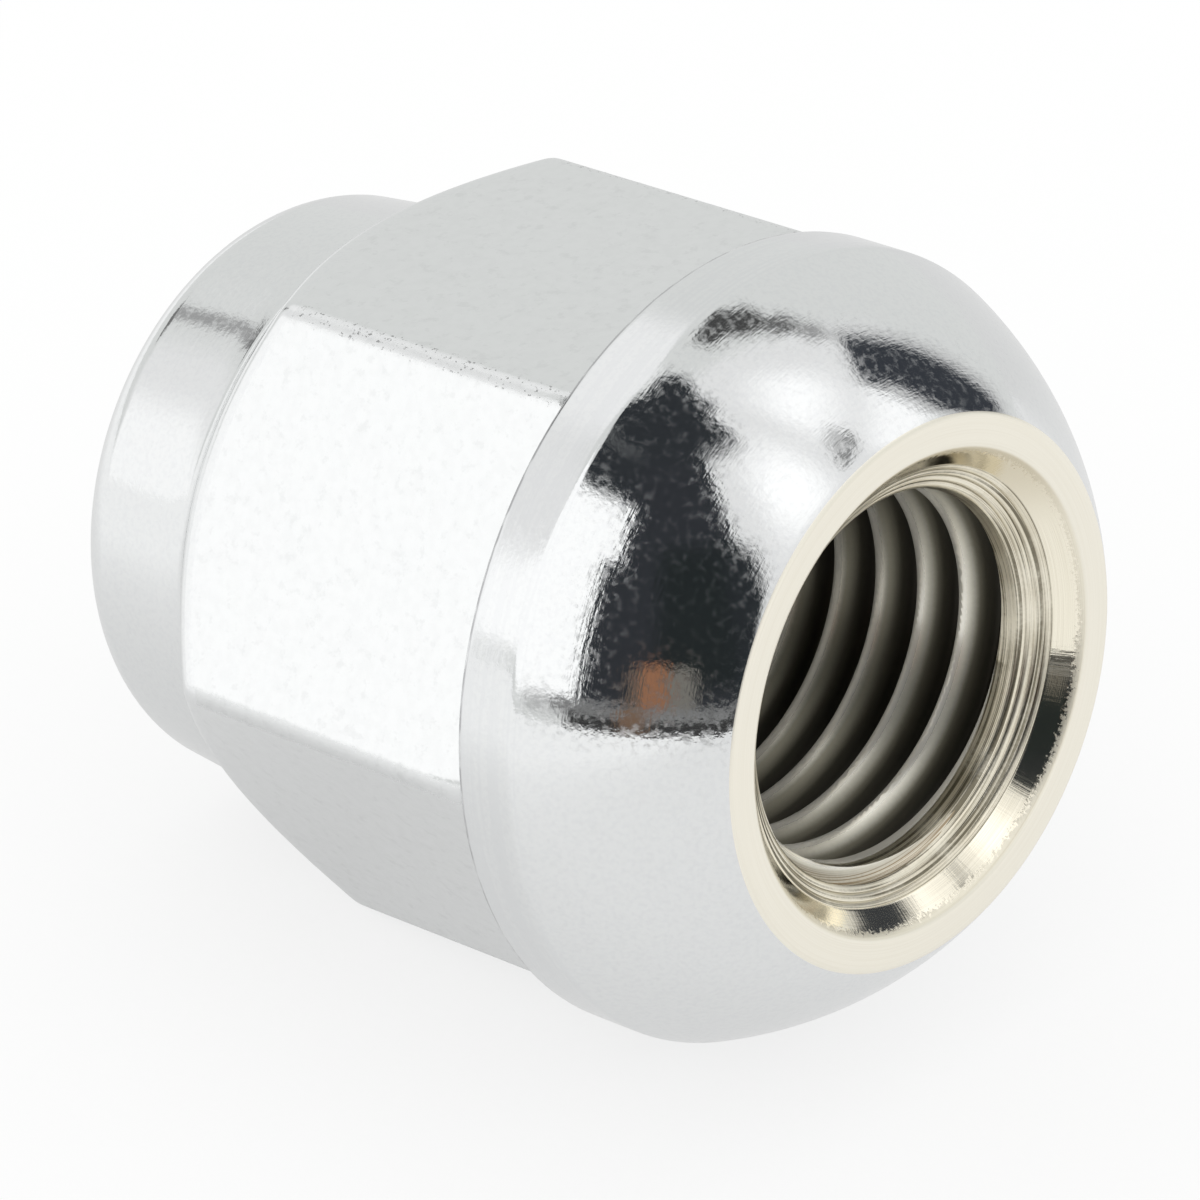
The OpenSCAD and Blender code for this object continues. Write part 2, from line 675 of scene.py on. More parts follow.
class Graph:
    """A node tree that is filled from Python expressions."""

    def __init__(self, tree: bpy.types.NodeTree) -> None:
        """Start with an empty tree.

        Args:
            tree: The node tree of a material or a world.
        """
        self.tree = tree
        tree.nodes.clear()

    def node(self, kind: str, settings: dict, inputs: dict, output: str | int = 0) -> Wire:
        """Add a node.

        Args:
            kind: The node's type.
            settings: Attributes that are set first.
            inputs: Values or wires for the node's sockets, by name or number.
            output: The output that the result starts from.

        Returns:
            A wire from that output.
        """
        node = self.tree.nodes.new(kind)
        for name, value in settings.items():
            setattr(node, name, value)
        for key, value in inputs.items():
            if isinstance(value, Wire):
                self.tree.links.new(value.socket, node.inputs[key])
            else:
                node.inputs[key].default_value = value
        return Wire(self, node.outputs[output])

    def close(self, kind: str, shader: Wire) -> None:
        """Add the tree's output node.

        Args:
            kind: The output node's type.
            shader: The shader that feeds its surface.
        """
        node = self.tree.nodes.new(kind)
        self.tree.links.new(shader.socket, node.inputs["Surface"])

    def math(self, operation: str, *values: Wire | float) -> Wire:
        """Return the result of a Math node."""
        return self.node("ShaderNodeMath", {"operation": operation}, dict(enumerate(values)))

    def combine(self, x: Wire | float, y: Wire | float, z: Wire | float) -> Wire:
        """Return a vector made of three values."""
        return self.node("ShaderNodeCombineXYZ", {}, {"X": x, "Y": y, "Z": z})

    def smooth(self, value: Wire, low: float, high: float) -> Wire:
        """Return 0 up to the low bound and 1 from the high one, with a soft step between them."""
        if low > high:
            return 1 - self.smooth(value, high, low)
        inputs = {"Value": value, "From Min": low, "From Max": high}
        return self.node("ShaderNodeMapRange", {"interpolation_type": "SMOOTHSTEP"}, inputs)

    def noise(self, vector: Wire, scale: float, detail: float = 2.0, roughness: float = 0.5) -> Wire:
        """Return noise from 0 to 1.

        Args:
            vector: Where the noise is read.
            scale: Patches per unit.
            detail: Number of finer layers.
            roughness: Weight of the finer layers.

        Returns:
            The noise.
        """
        inputs = {"Vector": vector, "Scale": scale, "Detail": detail, "Roughness": roughness}
        return self.node("ShaderNodeTexNoise", {}, inputs, "Fac")

    def mix(self, share: Wire, first: Wire | Colour, second: Wire | Colour) -> Wire:
        """Return a colour between two others.

        Args:
            share: How far the result lies towards the second colour.
            first: The colour at 0.
            second: The colour at 1.

        Returns:
            The mixed colour.
        """
        colours = [c if isinstance(c, Wire) else (*c, 1.0) for c in (first, second)]
        inputs = {0: share, 6: colours[0], 7: colours[1]}
        return self.node("ShaderNodeMix", {"data_type": "RGBA"}, inputs, 2)

    def bump(self, height: Wire) -> Wire:
        """Return normals from a height in millimetres."""
        return self.node("ShaderNodeBump", {}, {"Height": height, "Distance": MILLIMETRE, "Strength": 1.0})


@dataclass(frozen=True)
class Speckle:
    """Noise without a direction: patches per millimetre, number of finer layers and their weight."""

    scale: float
    layers: float = 2.0
    weight: float = 0.5


@dataclass(frozen=True)
class Streak:
    """Noise drawn out round the axis: length and width of a mark, and number of finer layers."""

    length: float
    width: float
    layers: float


class NutSpace:
    """Places on the nut's surface as shader values, in millimetres of the standing nut."""

    def __init__(self, graph: Graph, laying: Matrix) -> None:
        """Turn Object coordinates back to the standing nut.

        Args:
            graph: The graph of the finish.
            laying: The transform from the standing nut to the frame.
        """
        self.graph = graph
        standing = laying.inverted()
        point = graph.node("ShaderNodeTexCoord", {}, {}, "Object")
        place = {
            "Vector": point,
            "Location": standing.translation,
            "Rotation": standing.to_euler(),
            "Scale": standing.to_scale(),
        }
        self.point = graph.node("ShaderNodeMapping", {"vector_type": "POINT"}, place)
        split = graph.node("ShaderNodeSeparateXYZ", {}, {"Vector": self.point})
        self.x = split.output("X")
        self.y = split.output("Y")
        self.z = split.output("Z")
        self.radius = (self.x * self.x + self.y * self.y) ** 0.5

    def speckle(self, pattern: Speckle) -> Wire:
        """Return a noise without a direction, from 0 to 1."""
        return self.graph.noise(self.point, pattern.scale, pattern.layers, pattern.weight)

    def streak(self, along: Wire, pattern: Streak) -> Wire:
        """Return a noise that is drawn out round the axis.

        Args:
            along: Distance along the nut's outline, in millimetres.
            pattern: Size of its marks.

        Returns:
            The noise, from 0 to 1.
        """
        marks = MARK_R / pattern.length
        turn_x = self.x / self.radius * marks
        turn_y = self.y / self.radius * marks
        vector = self.graph.combine(turn_x, turn_y, along * (1 / pattern.width))
        return self.graph.noise(vector, 1.0, pattern.layers)

    def off_ridge(self) -> Wire:
        """Return the angle to the nearest ridge of the hexagon, in degrees."""
        turn = self.graph.math("ARCTAN2", self.y, self.x)
        # Counted in flats, with a full turn added so that it is never negative
        share = self.graph.math("FRACT", turn * (FLATS / math.tau) + (FLATS + 0.5))
        flat_angle = 360 / FLATS
        return flat_angle / 2 - abs(share - 0.5) * flat_angle


@dataclass(frozen=True)
class Finish:
    """A surface of the nut; each kind works out its own shader inputs."""

    name: str

    def build(self, laying: Matrix) -> bpy.types.Material:
        """Make the material.

        Args:
            laying: The transform from the standing nut to the frame.

        Returns:
            The material.
        """
        material = bpy.data.materials.new(self.name)
        material.use_nodes = True
        graph = Graph(material.node_tree)
        inputs = self.inputs(graph, NutSpace(graph, laying))
        graph.close("ShaderNodeOutputMaterial", graph.node("ShaderNodeBsdfPrincipled", {}, inputs))
        return material

    def inputs(self, graph: Graph, space: NutSpace) -> dict[str, Wire | float]:
        """Work out the shader's inputs.

        Args:
            graph: The material's graph.
            space: Places on the standing nut.

        Returns:
            Values and wires by the names of their sockets.
        """
        raise NotImplementedError


@dataclass(frozen=True)
class FlatChrome(Finish):
    """Bright plating on the flats, finely pebbled, with pitted upper ridges and smooth lower ones."""

    name: str = "chrome_flats"
    colour: Colour = (0.80, 0.81, 0.81)
    shade: Colour = (0.78, 0.79, 0.79)
    mark: Colour = (0.69, 0.70, 0.70)
    pit: Colour = (0.2, 0.2, 0.2)
    pebbles: Speckle = Speckle(1 / 0.32, 2.5)
    ripples: Speckle = Speckle(1 / 1.4, 1.0)
    grit: Speckle = Speckle(9.0, 2.0, 0.6)
    marks: Speckle = Speckle(2.6, 4.0, 0.65)
    ridge_grain: Speckle = Speckle(7.0, 3.0)
    pebble_height: float = 0.0016
    ripple_height: float = 0.002
    ridge_height: float = 0.006
    ridge_wander: float = 1.6
    # Degrees off the ridge
    ridge_span: Span = (2.0, 0.9)
    worn_x: Span = (3.0, 7.0)
    pit_span: Span = (0.6, 0.7)
    pit_share: float = 0.75
    shade_span: Span = (0.35, 0.7)
    mark_span: Span = (0.54, 0.68)
    mark_share: float = 0.45
    roughness: float = 0.07
    pebble_roughness: float = 0.04
    ridge_roughness: float = 0.3
    worn_roughness: float = 0.16

    def inputs(self, graph: Graph, space: NutSpace) -> dict[str, Wire | float]:
        """Work out the shader's inputs.

        Args:
            graph: The material's graph.
            space: Places on the standing nut.

        Returns:
            Values and wires by the names of their sockets.
        """
        off_ridge = space.off_ridge() + (space.speckle(self.ridge_grain) - 0.5) * self.ridge_wander
        ridge = graph.smooth(off_ridge, *self.ridge_span)
        upper = graph.smooth(space.x, *self.worn_x)
        pebble = space.speckle(self.pebbles)
        ripple = space.speckle(self.ripples)
        grit = space.speckle(self.grit)
        pits = graph.smooth(grit, *self.pit_span) * ridge * upper
        marks = graph.smooth(space.speckle(self.marks), *self.mark_span)
        height = pebble * self.pebble_height + ripple * self.ripple_height
        height = height + ridge * (grit * self.ridge_height) - pits * self.ridge_height
        tone = graph.mix(graph.smooth(pebble, *self.shade_span), self.colour, self.shade)
        tone = graph.mix(marks * self.mark_share, tone, self.mark)
        ridge_roughness = self.ridge_roughness - upper * (self.ridge_roughness - self.worn_roughness)
        return {
            "Base Color": graph.mix(pits * self.pit_share, tone, self.pit),
            "Metallic": 1.0,
            "Roughness": self.roughness + pebble * self.pebble_roughness + ridge * ridge_roughness,
            "Normal": graph.bump(height),
        }


@dataclass(frozen=True)
class TurnedChrome(Finish):
    """Bright plating over turned steel, with fine marks round the axis and painted shade in streaks along
    the collar's back edge.
    """

    name: str = "chrome_turned"
    colour: Colour = (0.80, 0.81, 0.81)
    shade: Colour = (0.775, 0.785, 0.79)
    # Painted shade along the collar's back edge, next to the hexagon
    back_edge_shade: Colour = (0.48, 0.48, 0.49)
    grain: Speckle = Speckle(1 / 0.14)
    specks: Speckle = Speckle(5.0)
    streaks: Streak = Streak(0.6, 0.09, 2.0)
    lines: Streak = Streak(7.0, 0.14, 1.0)
    grain_height: float = 0.0024
    streak_height: float = 0.0014
    line_height: float = 0.0008
    grain_span: Span = (0.4, 0.7)
    line_span: Span = (0.4, 0.65)
    speck_span: Span = (0.42, 0.72)
    back_edge_shade_span: Span = (0.3, 0.55)
    collar_r: Span = (11.06, 11.1)
    back_edge_r: Span = (10.9, 11.0)
    back_edge_start: Span = (6.44, 6.5)
    back_edge_end: Span = (6.7, 6.64)
    roughness: float = 0.06
    speck_roughness: float = 0.12

    def inputs(self, graph: Graph, space: NutSpace) -> dict[str, Wire | float]:
        """Work out the shader's inputs.

        Args:
            graph: The material's graph.
            space: Places on the standing nut.

        Returns:
            Values and wires by the names of their sockets.
        """
        along = space.z + space.radius
        grain = space.speckle(self.grain)
        streak = space.streak(along, self.streaks)
        line = space.streak(along, self.lines)
        height = grain * self.grain_height + streak * self.streak_height + line * self.line_height
        specks = graph.smooth(space.speckle(self.specks), *self.speck_span)
        collar = graph.smooth(space.radius, *self.collar_r)
        brushed = graph.smooth(grain, *self.grain_span) + collar * graph.smooth(line, *self.line_span)
        tone = graph.mix(brushed, self.colour, self.shade)
        # Painted shade: the collar's back edge is darkened in ragged streaks, next to the hexagon
        back_edge = graph.smooth(space.z, *self.back_edge_start) * graph.smooth(space.z, *self.back_edge_end)
        back_edge = back_edge * graph.smooth(space.radius, *self.back_edge_r)
        return {
            "Base Color": graph.mix(back_edge * graph.smooth(streak, *self.back_edge_shade_span), tone, self.back_edge_shade),
            "Metallic": 1.0,
            "Roughness": self.roughness + specks * self.speck_roughness,
            "Normal": graph.bump(height),
        }


@dataclass(frozen=True)
class MouthNickel(Finish):
    """Thin warm plating on the end face, the countersink and the combed lead-in cone."""

    name: str = "nickel_mouth"
    face: Colour = (0.97, 0.93, 0.82)
    colour: Colour = (0.96, 0.91, 0.77)
    shade: Colour = (0.66, 0.59, 0.44)
    dirt: Colour = (0.10, 0.085, 0.05)
    fine: Streak = Streak(9.0, 0.03, 2.0)
    coarse: Streak = Streak(18.0, 0.1, 1.0)
    chatter: Streak = Streak(0.11, 1.2, 1.0)
    grain: Speckle = Speckle(10.0, 3.0, 0.6)
    patches: Speckle = Speckle(0.6)
    patch_wander: float = 0.3
    ragged_wander: float = 0.5
    inside_r: Span = (6.86, 6.76)
    ragged_r: Span = (6.6, 6.7)
    lead_in_r: Span = (6.19, 6.14)
    # Painted shade: the countersink darkens towards the top of the laid nut
    shaded_x: Span = (1.5, 5.0)
    shaded_share: float = 0.8
    fine_span: Span = (0.5, 0.62)
    fine_share: float = 0.45
    coarse_span: Span = (0.54, 0.61)
    coarse_share: float = 0.85
    dirt_span: Span = (0.1, 0.6)
    tint_span: Span = (0.4, 0.7)
    face_tint: float = 0.1
    inside_tint: float = 0.2
    stain_span: Span = (0.35, 0.7)
    stain_share: float = 0.45
    line_height: float = 0.004
    plain_line_share: float = 0.15
    chatter_height: float = 0.0018
    grain_height: float = 0.0008
    rough_grain_height: float = 0.003
    face_roughness: float = 0.3
    sink_roughness: float = 0.09
    lead_in_roughness: float = 0.28
    edge_roughness: float = 0.4

    def inputs(self, graph: Graph, space: NutSpace) -> dict[str, Wire | float]:
        """Work out the shader's inputs.

        Args:
            graph: The material's graph.
            space: Places on the standing nut.

        Returns:
            Values and wires by the names of their sockets.
        """
        along = space.radius - space.z
        fine = space.streak(along, self.fine)
        coarse = space.streak(along, self.coarse)
        chatter = space.streak(along, self.chatter)
        grain = space.speckle(self.grain)
        patch = space.speckle(self.patches) + (grain - 0.5) * self.patch_wander
        inside = graph.smooth(space.radius, *self.inside_r)
        lead_in = graph.smooth(space.radius, *self.lead_in_r)
        ragged = graph.smooth(space.radius + (grain - 0.5) * self.ragged_wander, *self.ragged_r) * inside
        # Painted shade on the countersink, growing towards the top of the laid nut
        shaded = graph.smooth(space.x, *self.shaded_x) * inside * (1 - lead_in)
        fine_lines = graph.smooth(fine, *self.fine_span) * self.fine_share
        coarse_lines = graph.smooth(coarse, *self.coarse_span) * self.coarse_share
        lines = graph.math("MAXIMUM", fine_lines, coarse_lines) * graph.smooth(patch, *self.dirt_span)
        tint = graph.smooth(fine, *self.tint_span) * (self.face_tint + inside * self.inside_tint)
        tint = tint + lead_in * graph.smooth(patch, *self.stain_span) * self.stain_share
        tone = graph.mix(inside, self.face, self.colour)
        # The shade colour takes both the stains and the painted shade on the upper countersink
        tone = graph.mix(graph.math("MAXIMUM", tint, shaded * self.shaded_share), tone, self.shade)
        roughness = self.face_roughness + inside * (self.sink_roughness - self.face_roughness)
        roughness = roughness + lead_in * (self.lead_in_roughness - self.sink_roughness)
        roughness = roughness + ragged * (self.edge_roughness - self.sink_roughness)
        height = fine * (self.line_height * (self.plain_line_share + lead_in))
        height = height + grain * (self.grain_height + (lead_in + ragged) * self.rough_grain_height)
        return {
            "Base Color": graph.mix(lines * lead_in, tone, self.dirt),
            "Metallic": 1.0,
            "Roughness": roughness,
            "Normal": graph.bump(height + inside * chatter * self.chatter_height),
        }


@dataclass(frozen=True)
class ThreadSteel(Finish):
    """Thread whose crests and first turn the plating reached, with painted shade on the flanks, the roots
    and the deeper crests, and a painted highlight on the crest edges.
    """

    name: str = "thread_steel"
    # Painted highlight: near-white colour on the crest edges
    edge: Colour = (1.0, 0.97, 0.88)
    crest: Colour = (0.95, 0.92, 0.80)
    # Painted shade: crests darken deeper in the hole, flanks darken and roots go nearly black
    shaded_deep_crest: Colour = (0.38, 0.36, 0.28)
    flank: Colour = (0.14, 0.13, 0.095)
    root: Colour = (0.035, 0.032, 0.023)
    plated: Colour = (0.90, 0.84, 0.70)
    stain: Colour = (0.42, 0.31, 0.18)
    grain: Speckle = Speckle(8.0, 3.0, 0.6)
    scratches: Streak = Streak(2.5, 0.05, 2.0)
    fine: Streak = Streak(9.0, 0.04, 2.0)
    edge_r: Span = (5.38, 5.2)
    crest_r: Span = (5.22, 5.56)
    root_r: Span = (5.5, 5.95)
    radius_wander: float = 0.03
    plated_z: Span = (1.2, 2.0)
    plated_wander: float = 0.3
    deep_z: Span = (3.2, 6.5)
    stain_span: Span = (0.46, 0.6)
    metallic: float = 0.6
    roughness: float = 0.4
    edge_roughness: float = 0.2
    grain_height: float = 0.001

    def inputs(self, graph: Graph, space: NutSpace) -> dict[str, Wire | float]:
        """Work out the shader's inputs.

        Args:
            graph: The material's graph.
            space: Places on the standing nut.

        Returns:
            Values and wires by the names of their sockets.
        """
        grain = space.speckle(self.grain)
        scratch = space.streak(space.z, self.scratches)
        line = space.streak(space.radius - space.z, self.fine)
        radius = space.radius + (grain - 0.5) * self.radius_wander
        at_edge = graph.smooth(radius, *self.edge_r)
        off_crest = graph.smooth(radius, *self.crest_r)
        # Painted shade: the crests darken deeper in the hole
        tone = graph.mix(graph.smooth(space.z, *self.deep_z), self.crest, self.shaded_deep_crest)
        # Painted highlight on the crest edges, which are also given less roughness
        tone = graph.mix(at_edge, tone, self.edge)
        # Painted shade: the flanks darken, and the roots go nearly black
        tone = graph.mix(off_crest, tone, self.flank)
        tone = graph.mix(graph.smooth(radius, *self.root_r), tone, self.root)
        bare = graph.smooth(space.z + (grain - 0.5) * self.plated_wander, *self.plated_z)
        plated = graph.mix(graph.smooth(line, *self.stain_span), self.plated, self.stain)
        return {
            "Base Color": graph.mix(off_crest * (1 - bare), tone, plated),
            "Metallic": self.metallic,
            "Roughness": self.roughness + at_edge * (self.edge_roughness - self.roughness),
            "Normal": graph.bump(grain * self.grain_height + scratch * self.grain_height),
        }


@dataclass
class LugNut:
    """The whole nut: one turned, milled and tapped piece."""

    thread: Thread = field(default_factory=Thread)
    mouth: Mouth = field(default_factory=Mouth)
    seat: Seat = field(default_factory=Seat)
    hexagon: Hexagon = field(default_factory=Hexagon)
    crown: Crown = field(default_factory=Crown)
    smooth_angle: float = 32.0
    normal_weight: int = 60

    def build(self, record: dict) -> bpy.types.Object:
        """Build, lay down and dress the nut.

        Args:
            record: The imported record, which has the thread's place.

        Returns:
            The finished piece.
        """
        nut = self.turn()
        self.tap(nut)
        laying = self.laying(record)
        nut.matrix_world = laying
        select_only(nut)
        bpy.ops.object.transform_apply(location=True, rotation=True, scale=True)
        bpy.ops.object.shade_smooth_by_angle(angle=math.radians(self.smooth_angle))
        self.even_normals(nut)
        self.dress(nut, laying)
        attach(nut, "root")
        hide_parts("lug_nut")
        return nut

    def bands(self) -> list[Band]:
        """Return the strips of the whole nut, from the hole's point to the crown's end."""
        bands = self.mouth.bands(self.thread.minor_r)
        bands += self.seat.bands(self.mouth.end_face_d / 2)
        bands += self.hexagon.bands(self.seat.collar_h)
        return bands + self.crown.bands(self.hexagon)

    def turn(self) -> bpy.types.Object:
        """Build the nut without its thread, ring by ring, standing on its open end.

        Returns:
            The closed mesh.
        """
        columns = FLATS * self.hexagon.columns_per_flat
        bpy.ops.object.select_all(action="DESELECT")
        bpy.ops.mesh.primitive_circle_add(vertices=columns, radius=1.0, fill_type="NGON")
        nut = bpy.context.object
        nut.name = "dressed_lug_nut"
        nut.data.name = "dressed_lug_nut"
        radius, height = self.mouth.start(self.thread.minor_r)(0.0)
        for column, vertex in enumerate(nut.data.vertices):
            angle = self.hexagon.column_angle(column)
            vertex.co = (radius * math.cos(angle), radius * math.sin(angle), height)
        nut.data.polygons[0].material_index = Zone.THREAD.value
        for zone in Zone:
            nut.data.materials.append(bpy.data.materials.new(zone.name))
        bpy.ops.object.mode_set(mode="EDIT")
        bpy.ops.mesh.select_mode(type="EDGE")
        bpy.ops.mesh.select_all(action="SELECT")
        for band in self.bands():
            self.extrude(nut, band)
        bpy.ops.mesh.edge_face_add()
        bpy.ops.mesh.select_all(action="SELECT")
        bpy.ops.mesh.normals_make_consistent(inside=False)
        bpy.ops.object.mode_set(mode="OBJECT")
        nut.data.polygons[len(nut.data.polygons) - 1].material_index = Zone.TURNED.value
        return nut

    @staticmethod
    def extrude(nut: bpy.types.Object, band: Band) -> None:
        """Extrude the open edge to the next ring.

        Args:
            nut: The nut, in edit mode with its open edge selected.
            band: The next ring, and the finish of the strip that leads to it.
        """
        bpy.ops.mesh.extrude_edges_indiv()
        shape = bmesh.from_edit_mesh(nut.data)
        for vertex in shape.verts:
            if vertex.select:
                angle = math.atan2(vertex.co.y, vertex.co.x)
                radius, height = band.ring(angle)
                vertex.co = (radius * math.cos(angle), radius * math.sin(angle), height)
                for face in vertex.link_faces:
                    face.material_index = band.zone.value
        bmesh.update_edit_mesh(nut.data)

    def tap(self, nut: bpy.types.Object) -> None:
        """Cut the thread.

        Args:
            nut: The nut, standing on its open end.
        """
        coil = self.thread.coil()
        for material in nut.data.materials:
            coil.data.materials.append(material)
        for face in coil.data.polygons:
            face.material_index = Zone.THREAD.value
        cut = nut.modifiers.new("thread", "BOOLEAN")
        cut.operation = "DIFFERENCE"
        cut.solver = "EXACT"
        cut.object = coil
        apply_modifier(nut, "thread")
        select_only(coil)
        bpy.ops.object.delete()

    def laying(self, record: dict) -> Matrix:
        """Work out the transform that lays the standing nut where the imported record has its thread.

        Args:
            record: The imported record.

        Returns:
            The transform, from millimetres of the standing nut to the frame.
        """
        mount = next(m for m in record["mounts"] if m["name"] == "thread")
        out = Vector(mount["axis"]).normalized()
        across = Vector((0.0, 1.0, 0.0))
        up = out.cross(across)
        turn = Matrix((up, across, -out)).transposed().to_4x4()
        wall_start = self.mouth.lead_in_end(self.thread.minor_r)
        middle = (wall_start + self.mouth.bore_depth) / 2
        origin = Vector(mount["pos_m"]) + out * middle * MILLIMETRE
        return Matrix.Translation(origin) @ turn @ Matrix.Scale(MILLIMETRE, 4)

    def even_normals(self, nut: bpy.types.Object) -> None:
        """Let the large faces set the shading, so that the flats stay flat up to their soft edges.

        Args:
            nut: The nut.
        """
        weighted = nut.modifiers.new("even", "WEIGHTED_NORMAL")
        weighted.mode = "FACE_AREA_WITH_ANGLE"
        weighted.weight = self.normal_weight
        weighted.keep_sharp = True
        apply_modifier(nut, "even")

    @staticmethod
    def dress(nut: bpy.types.Object, laying: Matrix) -> None:
        """Give each zone its finish.

        Args:
            nut: The nut, laid down.
            laying: The transform from the standing nut to the frame.
        """
        finishes = {
            Zone.FLATS: FlatChrome(),
            Zone.TURNED: TurnedChrome(),
            Zone.MOUTH: MouthNickel(),
            Zone.THREAD: ThreadSteel(),
        }
        for zone, finish in finishes.items():
            nut.data.materials[zone.value] = finish.build(laying)


DARK_ROOM: Colour = (0.032, 0.036, 0.041)
DARK_STAND: Colour = (0.045, 0.05, 0.06)


@dataclass(frozen=True)
class Panel:
    """A part of the studio as the metal sees it, by compass direction and height in degrees."""

    azimuth: tuple[float, float]
    elevation: tuple[float, float]
    colour: Colour
    feather: float = 3.0


@dataclass
class Studio:
    """Floor, soft light and camera."""

    floor_size: float = 6.0
    floor_colour: Colour = (0.82, 0.825, 0.82)
    floor_white: float = 0.68
    floor_mirrored: float = 0.6
    floor_crown: float = 0.77
    floor_open: float = 0.98
    floor_far: float = 1.2
    # Direction of the lit side, and where on the floor each change of level takes place, in metres
    lit_direction: tuple[float, float] = (-0.64, -0.77)
    lit_span: Span = (0.004, 0.06)
    open_span: Span = (-0.012, 0.016)
    light_level: float = 1.0
    backdrop: Colour = (0.80, 0.81, 0.80)
    panels: tuple[Panel, ...] = (
        # Light wall and soft boxes
        Panel((-118.0, -72.0), (34.0, 82.0), grey(1.02), 12.0),
        Panel((-80.0, -44.0), (10.0, 42.0), grey(0.93), 12.0),
        Panel((-66.0, -40.0), (-8.0, 22.0), grey(1.15), 12.0),
        Panel((-47.0, 18.0), (5.0, 59.0), grey(1.22), 3.0),
        Panel((67.0, 178.0), (30.0, 84.0), grey(0.92), 8.0),
        Panel((84.0, 112.0), (42.0, 64.0), grey(1.3), 20.0),
        Panel((126.0, 156.0), (52.0, 70.0), grey(1.25), 18.0),
        Panel((134.0, 160.0), (26.0, 44.0), grey(1.2), 12.0),
        Panel((124.0, 134.0), (49.5, 53.5), grey(0.6), 4.0),
        Panel((121.0, 135.0), (46.5, 49.5), grey(0.22), 3.0),
        Panel((76.0, 112.0), (-1.0, 26.0), grey(0.98), 8.0),
        # Dark room behind the camera and overhead
        Panel((18.5, 66.0), (5.5, 95.0), (0.034, 0.037, 0.043), 2.0),
        Panel((38.0, 66.0), (12.0, 48.0), (0.020, 0.025, 0.026), 8.0),
        Panel((60.0, 72.0), (-1.0, 46.0), (0.026, 0.030, 0.034), 6.0),
        Panel((-48.0, 98.0), (70.0, 95.0), DARK_ROOM, 8.0),
        Panel((90.0, 122.0), (79.5, 95.0), DARK_ROOM, 5.0),
        Panel((-200.0, 200.0), (84.5, 95.0), DARK_ROOM, 3.0),
        Panel((-22.0, 22.0), (59.0, 72.0), DARK_ROOM, 5.0),
        Panel((16.0, 24.0), (43.0, 58.0), grey(1.2), 2.0),
        # Stands and openings
        Panel((156.0, 177.0), (4.0, 46.0), grey(0.6), 5.0),
        Panel((160.0, 174.0), (6.0, 44.5), DARK_STAND),
        Panel((157.5, 166.0), (39.0, 44.5), DARK_STAND),
        Panel((173.0, 180.0), (47.0, 53.0), grey(0.35), 5.0),
        Panel((178.0, 186.0), (51.5, 59.0), grey(0.12), 5.0),
        Panel((184.0, 197.0), (56.5, 66.0), grey(0.07), 5.0),
        Panel((191.0, 208.0), (60.0, 73.0), grey(0.07), 5.0),
        Panel((41.0, 48.5), (6.0, 17.5), (0.20, 0.19, 0.17)),
        Panel((31.0, 36.0), (5.0, 17.0), (0.14, 0.11, 0.09)),
        Panel((34.5, 41.0), (7.0, 18.5), (0.33, 0.16, 0.09)),
        Panel((4.0, 30.0), (2.5, 6.5), grey(0.5), 5.0),
        Panel((12.0, 68.0), (4.2, 7.0), grey(0.22), 2.0),
        Panel((16.0, 68.0), (-0.5, 4.2), grey(0.04), 2.0),
        Panel((29.0, 36.0), (1.0, 6.5), (0.20, 0.13, 0.09)),
        Panel((-92.0, -87.0), (23.0, 33.0), grey(0.4)),
        Panel((-97.0, -88.0), (14.0, 25.0), grey(0.2)),
    )
    view_azimuth: float = 41.803
    view_elevation: float = 33.615
    view_roll: float = 0.359
    view_distance: float = 209.18
    view_aside: float = 0.2206
    view_below: float = 1.298
    lens: float = 227.73
    sensor: float = 36.0
    clip_start: float = 0.01

    def build(self) -> None:
        """Set up the floor, the light and the camera."""
        self.lay_floor()
        self.light()
        self.aim_camera()
        bpy.context.scene.view_settings.view_transform = "Standard"

    def lay_floor(self) -> None:
        """Lay a plain pale floor, white to the camera but for the shadow, and shaded in the metal."""
        bpy.ops.object.select_all(action="DESELECT")
        bpy.ops.mesh.primitive_plane_add(size=self.floor_size)
        floor = bpy.context.object
        floor.name = "floor"
        material = bpy.data.materials.new("floor_white")
        material.use_nodes = True
        graph = Graph(material.node_tree)
        camera = graph.node("ShaderNodeLightPath", {}, {}, "Is Camera Ray")
        mirror = camera.output("Is Glossy Ray")
        point = graph.node("ShaderNodeTexCoord", {}, {}, "Object")
        split = graph.node("ShaderNodeSeparateXYZ", {}, {"Vector": point})
        lit_x, lit_y = self.lit_direction
        lit_side = graph.smooth(split.output("X") * lit_x + split.output("Y") * lit_y, *self.lit_span)
        plain = self.floor_colour[0] * self.light_level
        white = (1 - (1 - self.floor_white) * plain) / self.floor_white
        diffuse = graph.node("ShaderNodeBsdfDiffuse", {}, {"Color": (*self.floor_colour, 1.0)})
        open_side = graph.smooth(split.output("X"), *self.open_span)
        near = self.floor_crown + open_side * (self.floor_open - self.floor_crown)
        strength = camera * white + mirror * (near + lit_side * (self.floor_far - near))
        glow = graph.node("ShaderNodeEmission", {}, {"Color": (1.0, 1.0, 1.0, 1.0), "Strength": strength})
        share = camera * self.floor_white + mirror * self.floor_mirrored
        mixed = graph.node("ShaderNodeMixShader", {}, {0: share, 1: diffuse, 2: glow})
        graph.close("ShaderNodeOutputMaterial", mixed)
        floor.data.materials.append(material)

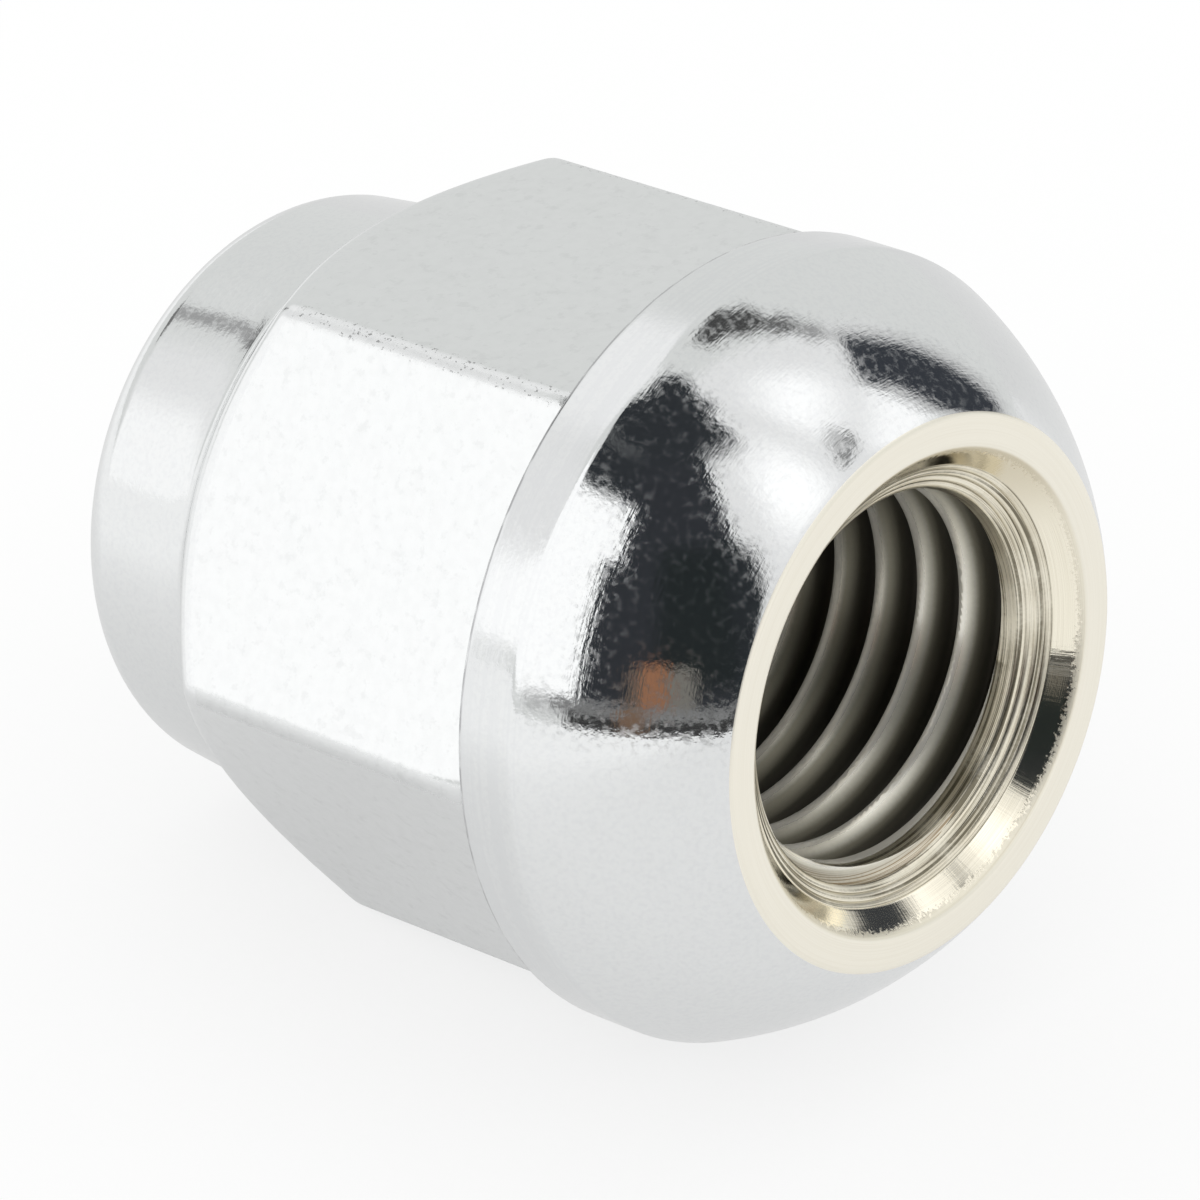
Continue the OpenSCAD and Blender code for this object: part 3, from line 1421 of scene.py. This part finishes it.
    def light(self) -> None:
        """Light the nut evenly from all round, and give the metal a studio to mirror."""
        world = bpy.data.worlds.new("studio")
        bpy.context.scene.world = world
        world.use_nodes = True
        world.cycles.sampling_method = "NONE"
        graph = Graph(world.node_tree)
        path = graph.node("ShaderNodeLightPath", {}, {}, "Is Glossy Ray")
        direction = graph.node("ShaderNodeTexCoord", {}, {}, "Generated")
        split = graph.node("ShaderNodeSeparateXYZ", {}, {"Vector": direction})
        degrees = 180 / math.pi
        azimuth = graph.math("ARCTAN2", split.output("X"), split.output("Y") * -1.0) * degrees
        elevation = graph.math("ARCSINE", split.output("Z")) * degrees
        mirrored = self.backdrop
        for panel in self.panels:
            mask = self.mask(graph, panel, azimuth, elevation)
            mirrored = graph.mix(mask, mirrored, panel.colour)
        seen = graph.mix(path, grey(self.light_level), mirrored)
        background = graph.node("ShaderNodeBackground", {}, {"Color": seen, "Strength": 1.0})
        graph.close("ShaderNodeOutputWorld", background)

    @staticmethod
    def mask(graph: Graph, panel: Panel, azimuth: Wire, elevation: Wire) -> Wire:
        """Work out where a panel stands.

        Args:
            graph: The world's graph.
            panel: The panel.
            azimuth: Compass direction that the metal looks in, from -180 to 180 degrees.
            elevation: Height that the metal looks at, in degrees.

        Returns:
            1 on the panel, 0 off it, with a soft edge.
        """
        middle = sum(panel.azimuth) / 2
        half = (panel.azimuth[1] - panel.azimuth[0]) / 2
        offset = abs(graph.math("WRAP", azimuth - middle, 180.0, -180.0))
        soft = panel.feather / 2
        low, high = panel.elevation
        beside = graph.smooth(offset, half + soft, half - soft)
        above = graph.smooth(elevation, low - soft, low + soft)
        below = graph.smooth(elevation, high + soft, high - soft)
        return beside * above * below

    def aim_camera(self) -> None:
        """Place the camera at the photo's viewing angle."""
        azimuth = math.radians(self.view_azimuth)
        elevation = math.radians(self.view_elevation)
        roll = math.radians(self.view_roll)
        flat = math.cos(elevation)
        back = Vector((math.sin(azimuth) * flat, -math.cos(azimuth) * flat, math.sin(elevation)))
        level_right = Vector((math.cos(azimuth), math.sin(azimuth), 0.0))
        level_up = back.cross(level_right)
        right = level_right * math.cos(roll) + level_up * math.sin(roll)
        up = back.cross(right)
        middle = (Vector(cad_box[0]) + Vector(cad_box[1])) / 2
        offset = right * self.view_aside - up * self.view_below + back * self.view_distance
        data = bpy.data.cameras.new("camera")
        data.lens = self.lens
        data.sensor_width = self.sensor
        data.clip_start = self.clip_start
        camera = bpy.data.objects.new("camera", data)
        turn = Matrix((right, up, back)).transposed().to_4x4()
        camera.matrix_world = Matrix.Translation(middle + offset * MILLIMETRE) @ turn
        bpy.context.collection.objects.link(camera)
        bpy.context.scene.camera = camera


def main() -> None:
    """Build the nut and its studio."""
    logging.basicConfig(level=logging.INFO)
    nut = LugNut().build(frame["record"])
    log.info("%s: %d faces", nut.name, len(nut.data.polygons))
    Studio().build()


if __name__ == "__main__":
    main()
